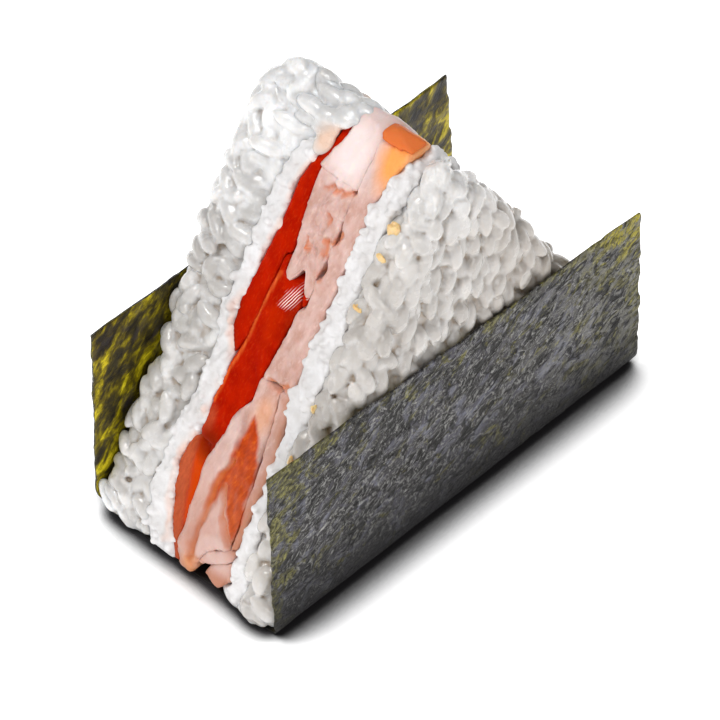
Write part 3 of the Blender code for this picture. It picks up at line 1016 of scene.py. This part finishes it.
def make_layer(node, voxel, smooth, relief, growth):
    """A filling from its CAD solid, fused, softened, grown to meet its neighbours and given relief."""
    piece = copy_node(node + "_look", node)
    remesh(piece, voxel, smooth)
    points = get_points(piece)
    depth = growth + exposed(points) * relief(points)
    set_points(piece, points + depth[:, None] * get_normals(piece))
    keep_inside_nori(piece)
    return piece


def cheese_relief(points):
    """Round lumps with creases between them."""
    lumps = np.abs(noise(points, 4.2, seed=3)) + 0.55 * np.abs(noise(points, 2.1, seed=4))
    return 0.8 * lumps - 0.8


def fish_relief(points):
    """Nearly smooth, with long low waves and fine fibres, a lit edge and a groove between slices."""
    spots = section_spots(points, 0.15)
    waves = 0.3 * noise(points, (9.0, 5.0, 12.0), seed=5)
    fibres = 0.05 * noise(points, (1.4, 0.7, 5.0), seed=6)
    edge = 0.25 * near_line(spots, FISH_LIT_LINE, 0.5) - 0.3 * near_line(spots, FISH_SPLIT_LINE, 0.6)
    return waves + fibres + edge


def prawn_relief(points):
    """Fibrous flesh with deeper creases, two slabs standing out and shreds at the middle."""
    spots = section_spots(points, 0.5)
    fibres = 0.3 * noise(points, (2.6, 1.5, 5.0), seed=14) + 0.16 * noise(points, (1.5, 0.8, 2.6), seed=15)
    torn = np.abs(rough_noise(points, (2.2, 1.6, 3.4), seed=21))
    shreds = 1.54 * spot(spots, (-3.5, 64.0), (5.0, 11.0)) * torn
    slabs = 0.75 * within(spots, PRAWN_SLAB_BACK, 0.5) + 0.35 * within(spots, PRAWN_SLAB_FRONT, 0.5)
    return fibres + shreds + slabs - 0.8 * prawn_creases(spots) - 0.3


def prawn_creases(spots):
    """How near a spot lies to one of the creases in the prawn."""
    return np.max([near_line(spots, line, 0.75) for line in PRAWN_CREASES], axis=0)


def add_crumbs(piece, rng):
    """Fuse small crumbs onto the parts of a piece that show."""
    places, normals = surface_samples(piece, 4 * CHEESE_CRUMBS, rng)
    seen = np.flatnonzero(exposed(places) > 0.6)[:CHEESE_CRUMBS]
    ball, faces = ball_template(2)
    parts = [points_and_faces(piece)]
    for place, normal in zip(places[seen], normals[seen]):
        radius = rng.uniform(0.35, 1.0) * rng.uniform(0.75, 1.3, 3)
        parts.append((ball * radius + place + rng.uniform(-0.35, 0.2) * normal, faces))
    name = piece.name
    bpy.data.objects.remove(piece)
    crumbed = new_mesh_object(name, *gather(parts))
    remesh(crumbed, CHEESE_VOXEL, smooth=1)
    return crumbed


def make_cheese(node, material, rng):
    """A ribbon of crumbly cheese, tinged where it touches the fish."""
    piece = add_crumbs(make_layer(node, 0.5, 2, cheese_relief, CHEESE_GROWTH), rng)
    keep_inside_nori(piece)
    points = get_points(piece)
    patchy = fade(noise(points, 3.0, seed=71), -0.5, 0.5)
    tinge = near_line(section_spots(points, 0.4), FISH_BACK_LINE, 1.3)
    store_values(piece, "tinge", tinge * patchy)
    store_hollows(piece, 20, 0.7)
    thin_out(piece, CHEESE_TRIANGLES)
    finish_piece(piece, material, [node])


def make_fish(node, material):
    """A slice of fish with its paler, darker and more orange parts."""
    piece = make_layer(node, FISH_VOXEL, 6, fish_relief, FISH_GROWTH)
    points = get_points(piece)
    spots = section_spots(points, 0.2)
    y, z = spots.T
    # The large dark spot is painted shade at the middle slice's recessed lower end, under the lower slice; the
    # smaller spot and the curl line are darker red.
    dark = spot(spots, (2.2, 25.2), (4.0, 4.2)) + 0.5 * spot(spots, (-3.5, 50.0), (1.6, 6.0))
    store_shares(
        piece,
        pink=within(spots, FISH_PINK_SIDE, 0.8) + 0.55 * spot(spots, (4.2, 28.6), (2.0, 3.2)),
        dark=dark + 0.8 * near_line(spots, FISH_CURL_LINE, 1.1),
        orange=within(spots, FISH_ORANGE_SIDE, 0.8) + 0.12 * spot(spots, (-0.6, 47.5), (2.4, 5.5)),
        peach=fade(z, 78.0, 80.0) * (y < -5.0),
        glint=within(spots, FISH_GLINT, 0.8) * (points[:, 0] < 0.0),
        shade=0.5 * fade(points[:, 2], 24.0, 0.0),
        lit=near_line(section_spots(points, 0.1), FISH_LIT_LINE, 0.4),
    )
    thin_out(piece, LAYER_TRIANGLES)
    finish_piece(piece, material, [node])


def shred_end(piece):
    """Pull the middle prawn's lower end along the slope into uneven tongues with a notch between."""
    points = get_points(piece)
    x, y, z = points.T
    slope = math.radians(SLOPE_ANGLE)
    tongues = np.interp(y, *zip(*SHRED_PROFILE)) + 0.5 * noise(points, 1.1, seed=84)
    pull = tongues * fade(z, 62.0, 57.0) * exposed(points)
    points[:, 0] -= np.sign(x) * pull * math.cos(slope)
    points[:, 2] += pull * math.sin(slope)
    set_points(piece, points)


def make_prawn(node, material):
    """A piece of prawn with its white, orange, brown and creased parts."""
    growth = PRAWN_TOP_GROWTH if node == "prawn_top" else PRAWN_GROWTH
    piece = make_layer(node, PRAWN_VOXEL, 3, prawn_relief, growth)
    if node == "prawn_middle":
        shred_end(piece)
    points = get_points(piece)
    spots = section_spots(points, 0.5)
    amber = spot(spots, (-11.5, 80.0), (4.6, 8.0)) + 0.7 * spot(spots, (-1.5, 3.4), (3.0, 4.6))
    white = spot(spots, (-3.4, 77.5), (6.4, 8.5)) + spot(spots, (-7.0, 9.0), (5.5, 4.2))
    slabs = 0.5 * within(spots, PRAWN_SLAB_FRONT, 1.0) + 0.3 * within(spots, PRAWN_SLAB_BACK, 1.0)
    brown = near_line(spots, PRAWN_BROWN_LINE, 1.9)
    store_shares(
        piece,
        orange=1.3 * within(spots, PRAWN_ORANGE_SIDE, 0.9),
        amber=amber + 0.35 * spot(spots, (-6.0, 34.0), (3.0, 5.0)),
        white=white + slabs,
        brown=brown + 0.8 * spot(spots, (-8.0, 4.4), (3.6, 2.6)),
        crease=prawn_creases(spots),
        shade=0.5 * fade(points[:, 2], 32.0, 12.0),
    )
    thin_out(piece, LAYER_TRIANGLES)
    finish_piece(piece, material, [node])


def make_bits(material):
    """Small bits of prawn pressed into the front cheese and rice."""
    ball, faces = ball_template(4)
    parts = []
    for index, (y, z, wide, high) in enumerate(BITS):
        rough = 1.0 + 0.32 * rough_noise(ball + 5.0 * index, 0.9, seed=90)[:, None]
        shape = ball * rough * (0.3 * high, 0.5 * wide, 0.5 * high)
        parts.append((shape + face_place(y, z, BIT_LIFT), faces))
    finish_piece(new_mesh_object("prawn_bits", *gather(parts)), material)


# ---------------------------------------------------------------- nori

def nori_line():
    """The folded sheet's outer line, front flap's top to back flap's, as (Y, Z, share of flap)."""
    low, high = nori_box
    half = 0.5 * (high[1] - low[1]) / MM - FLAP_TWIST - FLAP_WAVE
    straight = half - FOLD_RADIUS
    turns = round(0.5 * math.pi * FOLD_RADIUS / NORI_STEP)
    angles = [0.5 * math.pi * turn / turns for turn in range(turns + 1)]
    line = []
    for side, top in ((-1.0, FRONT_FLAP_HEIGHT), (1.0, BACK_FLAP_HEIGHT)):
        rows = round((top - FOLD_RADIUS) / NORI_STEP)
        shares = [row / rows for row in range(rows, 0, -1)]
        flap = [(side * half, FOLD_RADIUS + (top - FOLD_RADIUS) * share, share) for share in shares]
        fold = [
            (side * (straight + FOLD_RADIUS * math.cos(angle)), FOLD_RADIUS * (1.0 - math.sin(angle)), 0.0)
            for angle in angles
        ]
        line.append(flap + fold)
    rows = round(2.0 * straight / NORI_STEP)
    base = [(straight * (2.0 * row / rows - 1.0), 0.0, 0.0) for row in range(1, rows)]
    return np.array(line[0] + base + line[1][::-1])


def sheet_points(along, y, z, share):
    """The sheet's points with its flaps leaning, twisted and waved and its edges ragged."""
    back = y > 0.0
    side = np.where(back, 1.0, -1.0)
    middle = 2.0 * along - 1.0
    left = NORI_LEFT + np.where(back, BACK_FLAP_LEAN[0], FRONT_FLAP_LEAN[0]) * share
    right = NORI_RIGHT - np.where(back, BACK_FLAP_LEAN[1], FRONT_FLAP_LEAN[1]) * share
    ragged = rough_noise(np.stack((90.0 * along, y + 3.0 * z * side, z * 0.0), axis=1), 5.0, seed=31)
    recess = 1.3 * fade(z, FOLD_RADIUS, 0.0) * (middle < 0.0)
    x = left + (right - left) * along + (0.16 * ragged + recess) * np.abs(middle) ** 24
    y = y + side * share * (FLAP_TWIST * middle + FLAP_WAVE * np.sin(9.0 * along + side))
    rise = np.where(back, BACK_FLAP_RISE, FRONT_FLAP_RISE) * middle
    wave = 0.25 * np.sin(11.0 * along + 2.0 * side) + 0.22 * ragged
    return np.stack((x, y, z + share ** 3 * rise + share ** 12 * wave), axis=1)


def wrinkle(points, side):
    """A copy of the sheet's points pressed in by wrinkles and by short fibres."""
    x, y, z = points.T
    leaning = np.stack((x + 0.4 * z, y, z), axis=1)
    wrinkles = rough_noise(leaning, (11.0, 9.0, 4.5), seed=41) * 0.2
    fibres = np.abs(rough_noise(leaning + wrinkles[:, None], (5.0, 3.0, 2.2), seed=47)) * 0.2
    upright = fade(z, 0.0, FOLD_RADIUS)
    y = y - side * upright * (wrinkles + fibres - 0.1)
    z = z + (1.0 - upright) * np.abs(wrinkles) * 0.5
    return np.stack((x, y, z), axis=1)


def grid_faces(rows, width):
    """The faces of a grid of points, row after row."""
    starts = [row * width + column for row in range(rows - 1) for column in range(width - 1)]
    return [(start, start + 1, start + width + 1, start + width) for start in starts]


def store_nori_shares(piece, points, along, share):
    """Keep where the sheet is olive, yellow and pale, and where painted shade darkens it, low down outside and
    near the foot inside, from its unwrinkled points.
    """
    x, _, z = points.T
    corner = np.clip(1.0 - np.hypot((x - 46.0) / 14.0, (z - 41.0) / 14.0), 0.0, 1.0)
    near_top = fade(share, 0.8, 1.0)
    near_end = fade(np.abs(2.0 * along - 1.0), 0.8, 1.0)
    store_values(piece, "edge", np.clip(near_top * 0.6 + near_end + corner, 0.0, 1.2))
    store_shares(
        piece,
        corner=corner * 2.0,
        # Painted shade on the inside near the foot, under the rice.
        hidden=fade(z, 7.0, 0.0),
        pale=0.6 * fade(x, 5.0, 47.0),
        # Painted shade on the outside, darker towards the foot.
        low=0.95 * fade(z, 20.0, 4.0),
    )


def make_nori(outer, inner):
    """The nori as a fine wrinkled sheet folded round the foot, with a different look on each side."""
    line = nori_line()
    width = round((NORI_RIGHT - NORI_LEFT) / NORI_STEP) + 1
    along, row = np.meshgrid(np.linspace(0.0, 1.0, width), np.arange(len(line)))
    along = along.ravel()
    y, z, share = line[row.ravel()].T
    points = sheet_points(along, y, z, share)
    wrinkled = wrinkle(points, np.where(y > 0.0, 1.0, -1.0))
    piece = new_mesh_object("nori_leaf", wrinkled, grid_faces(len(line), width))
    store_nori_shares(piece, points, along, share)
    piece.data.materials.append(inner)
    piece.data.materials.append(outer)
    thicken = piece.modifiers.new("thickness", "SOLIDIFY")
    thicken.thickness = NORI_THICKNESS * MM
    thicken.offset = 1.0
    thicken.material_offset = 1
    thicken.material_offset_rim = 1
    apply_modifiers(piece)
    piece.data.shade_smooth()
    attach(piece, "root")
    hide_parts("nori_sheet")


# ---------------------------------------------------------------- stage

def make_floor():
    """A plain pale floor that glows with painted light where the food doesn't shade it, and darkens into a
    painted contact shadow close to the food.
    """
    bm = bmesh.new()
    bmesh.ops.create_grid(bm, x_segments=1, y_segments=1, size=3.0)
    mesh = bpy.data.meshes.new("floor")
    bm.to_mesh(mesh)
    bm.free()
    shader = Shader("floor")
    shader.use("Roughness", 0.9)
    shader.use("Specular IOR Level", 0.0)
    shader.use("Emission Color", (1.0, 1.0, 1.0, 1.0))
    openness = shader.node("ShaderNodeAmbientOcclusion", {"Distance": FLOOR_SHADE_REACH * MM})["AO"]
    # Painted light: the floor glows, less where the food is close.
    shader.use("Emission Strength", shader.range(openness, 0.56, 0.97, 0.0, FLOOR_GLOW))
    # Painted contact shadow: the floor's colour darkens close to the food.
    painted_contact_shadow = shader.range(openness, 0.42, 0.78)
    shader.colour((0.03, 0.028, 0.03), (painted_contact_shadow, (0.93, 0.93, 0.935)))
    mesh.materials.append(shader.material)
    floor = new_object("floor", mesh)


def add_light(name, place, size, power):
    """A square soft light at a place, aimed at the food."""
    data = bpy.data.lights.new(name, "AREA")
    data.shape = "SQUARE"
    data.size = size * MM
    data.energy = power
    light = new_object(name, data)
    light.location = Vector(place) * MM
    toward = Vector(LIGHT_AIM) - Vector(place)
    light.rotation_euler = toward.to_track_quat("-Z", "Y").to_euler()


def make_world():
    """Even white light from all round."""
    world = bpy.data.worlds.new("studio")
    world.use_nodes = True
    background = world.node_tree.nodes["Background"]
    background.inputs["Color"].default_value = (1.0, 1.0, 1.0, 1.0)
    background.inputs["Strength"].default_value = WORLD_STRENGTH
    bpy.context.scene.world = world


def make_camera():
    """The camera at the fitted angle, turned about its axis by the roll."""
    azimuth, elevation, roll = map(math.radians, (CAMERA_AZIMUTH, CAMERA_ELEVATION, CAMERA_ROLL))
    back = Vector((
        math.sin(azimuth) * math.cos(elevation),
        -math.cos(azimuth) * math.cos(elevation),
        math.sin(elevation),
    ))
    level = Vector((math.cos(azimuth), math.sin(azimuth), 0.0))
    upright = back.cross(level)
    right = level * math.cos(roll) + upright * math.sin(roll)
    up = upright * math.cos(roll) - level * math.sin(roll)
    place = (Vector(CAMERA_TARGET) + back * CAMERA_DISTANCE) * MM
    data = bpy.data.cameras.new("camera")
    data.sensor_width = CAMERA_SENSOR
    data.lens = CAMERA_LENS
    data.clip_start = 0.01
    data.clip_end = 20.0
    camera = new_object("camera", data)
    camera.matrix_world = Matrix.Translation(place) @ Matrix((right, up, back)).transposed().to_4x4()
    bpy.context.scene.camera = camera


# ---------------------------------------------------------------- build

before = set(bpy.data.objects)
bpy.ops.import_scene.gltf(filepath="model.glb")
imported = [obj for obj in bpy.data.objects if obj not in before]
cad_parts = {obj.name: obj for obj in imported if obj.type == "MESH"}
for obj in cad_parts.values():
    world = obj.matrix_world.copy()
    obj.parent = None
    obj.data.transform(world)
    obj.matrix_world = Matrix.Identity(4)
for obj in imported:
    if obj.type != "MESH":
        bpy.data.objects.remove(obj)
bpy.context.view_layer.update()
nori_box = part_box("nori_sheet")

make_camera()
make_world()
make_floor()
for name, place, size, power in LIGHTS:
    add_light(name, place, size, power)

rng = np.random.default_rng(SEED)
rice = rice_material()
make_rice("rice_back", RICE_BACK, rice, rng)
make_rice("rice_front", RICE_FRONT, rice, rng)

make_extra_grains("rice_top_grains", TOP_GRAINS, rice, rng)
make_extra_grains("rice_corner_grains", CORNER_GRAINS, rice, rng)
make_bits(bits_material())

cheese = cheese_material()
make_cheese("cheese_back", cheese, rng)
make_cheese("cheese_front", cheese, rng)

salmon = salmon_material()
for node in ("salmon_upper", "salmon_middle", "salmon_lower", "salmon_scrap", "salmon_tip"):
    make_fish(node, salmon)

prawn = prawn_material()
for node in ("prawn_top", "prawn_middle", "prawn_long", "prawn_lower", "prawn_edge", "prawn_bar", "prawn_end"):
    make_prawn(node, prawn)

make_nori(nori_outer_material(), nori_inner_material())

bpy.context.scene.view_settings.view_transform = "Standard"
